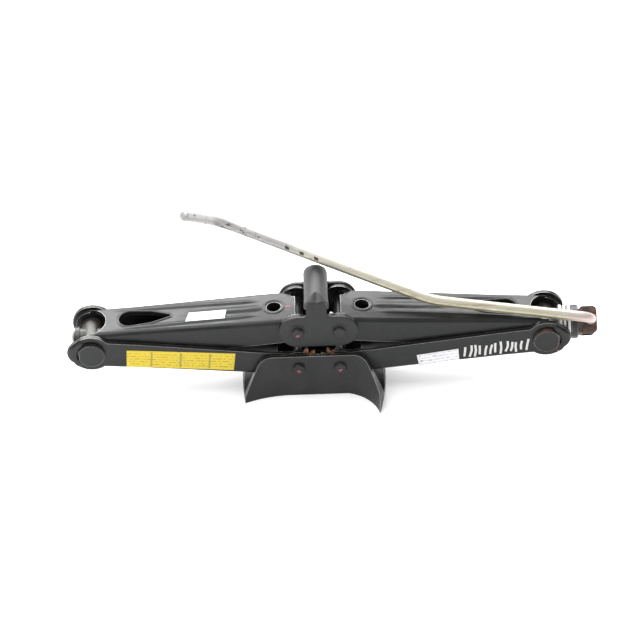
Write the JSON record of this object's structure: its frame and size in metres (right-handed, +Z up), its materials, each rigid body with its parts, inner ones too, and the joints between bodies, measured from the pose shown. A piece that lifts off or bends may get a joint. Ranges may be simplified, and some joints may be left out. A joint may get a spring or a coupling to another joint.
{
  "type": "scissor jack",
  "caption": "Mechanical scissor jack folded flat, with geared channel arms, a lead screw and a hinged crank rod laid back over the head.",
  "frame": {"origin": "centre of the foot's flat underside", "axes": "+Z up, +X along the lead screw towards the crank end, +Y to the rear"},
  "size_m": [0.4105, 0.102, 0.1541],
  "materials": {
    "black_paint": "satin black paint, worn at the edges",
    "zinc": "yellowish zinc plate, worn and streaked",
    "steel_oiled": "bare steel, oiled",
    "rusty_steel": "dark steel with light rust",
    "bearing_white": "bright zinc plate",
    "brass_cage": "pressed brass"
  },
  "bodies": {
    "foot": {"foot_channel": "black_paint", "foot_pivot_pin_left": "black_paint", "foot_pivot_pin_right": "black_paint"},
    "arm_lower_left": {"lower_arm_left": "black_paint"},
    "arm_lower_right": {"lower_arm_right": "black_paint"},
    "arm_upper_left": {"upper_arm_left": "black_paint"},
    "arm_upper_right": {"upper_arm_right": "black_paint"},
    "head": {"head_saddle": "black_paint", "head_pivot_pin_left": "black_paint", "head_pivot_pin_right": "black_paint"},
    "nut": {"nut_trunnion": "steel_oiled", "elbow_pin_left_front": "black_paint", "elbow_pin_left_rear": "black_paint"},
    "bearing": {"bearing_trunnion": "steel_oiled", "elbow_pin_right_front": "black_paint", "elbow_pin_right_rear": "black_paint", "thrust_race_inner": "bearing_white", "thrust_balls": "steel_oiled", "ball_cage": "brass_cage"},
    "screw": {"lead_screw": "steel_oiled", "thrust_race_outer": "bearing_white", "screw_collar": "black_paint", "crank_yoke": "rusty_steel"},
    "crank": {"crank_rod": "zinc", "crank_washer": "zinc"}
  },
  "joints": [
    {"name": "lift", "type": "hinge", "parent": "foot", "child": "arm_lower_left", "pos_m": [-0.016, 0, 0.0275], "axis": [0, 1, 0], "range_deg": [0, 59]},
    {"name": "lower_arm_right_swing", "type": "hinge", "parent": "foot", "child": "arm_lower_right", "pos_m": [0.016, 0, 0.0275], "axis": [0, 1, 0], "range_deg": [-60, 1]},
    {"name": "upper_arm_left_swing", "type": "hinge", "parent": "arm_lower_left", "child": "arm_upper_left", "pos_m": [-0.17517, 0, 0.04375], "axis": [0, 1, 0], "range_deg": [-119, 1]},
    {"name": "upper_arm_right_swing", "type": "hinge", "parent": "arm_lower_right", "child": "arm_upper_right", "pos_m": [0.17517, 0, 0.04375], "axis": [0, 1, 0], "range_deg": [-1, 119]},
    {"name": "nut_level", "type": "hinge", "parent": "arm_lower_left", "child": "nut", "pos_m": [-0.17517, 0, 0.04375], "axis": [0, 1, 0], "range_deg": [-60, 1]},
    {"name": "bearing_level", "type": "hinge", "parent": "arm_lower_right", "child": "bearing", "pos_m": [0.17517, 0, 0.04375], "axis": [0, 1, 0], "range_deg": [-1, 60]},
    {"name": "head_level", "type": "hinge", "parent": "arm_upper_left", "child": "head", "pos_m": [-0.016, 0, 0.06], "axis": [0, 1, 0], "range_deg": [-1, 60]},
    {"name": "screw_turn", "type": "hinge", "parent": "bearing", "child": "screw", "pos_m": [0.17517, 0, 0.04375], "axis": [1, 0, 0], "range_deg": [-1, 4]},
    {"name": "crank_fold", "type": "hinge", "parent": "screw", "child": "crank", "pos_m": [0.20957, 0, 0.04375], "axis": [0, 0.6972, -0.7169], "range_deg": [-0.5, 172.4]}
  ],
  "couplings": [
    {"joint": "lower_arm_right_swing", "follows": "lift", "ratio": -1},
    {"joint": "upper_arm_left_swing", "follows": "lift", "ratio": -2},
    {"joint": "upper_arm_right_swing", "follows": "lift", "ratio": 2},
    {"joint": "nut_level", "follows": "lift", "ratio": -1},
    {"joint": "bearing_level", "follows": "lift", "ratio": 1},
    {"joint": "head_level", "follows": "lift", "ratio": 1},
    {"joint": "crank_fold", "follows": "lift", "ratio": 2.9136}
  ]
}
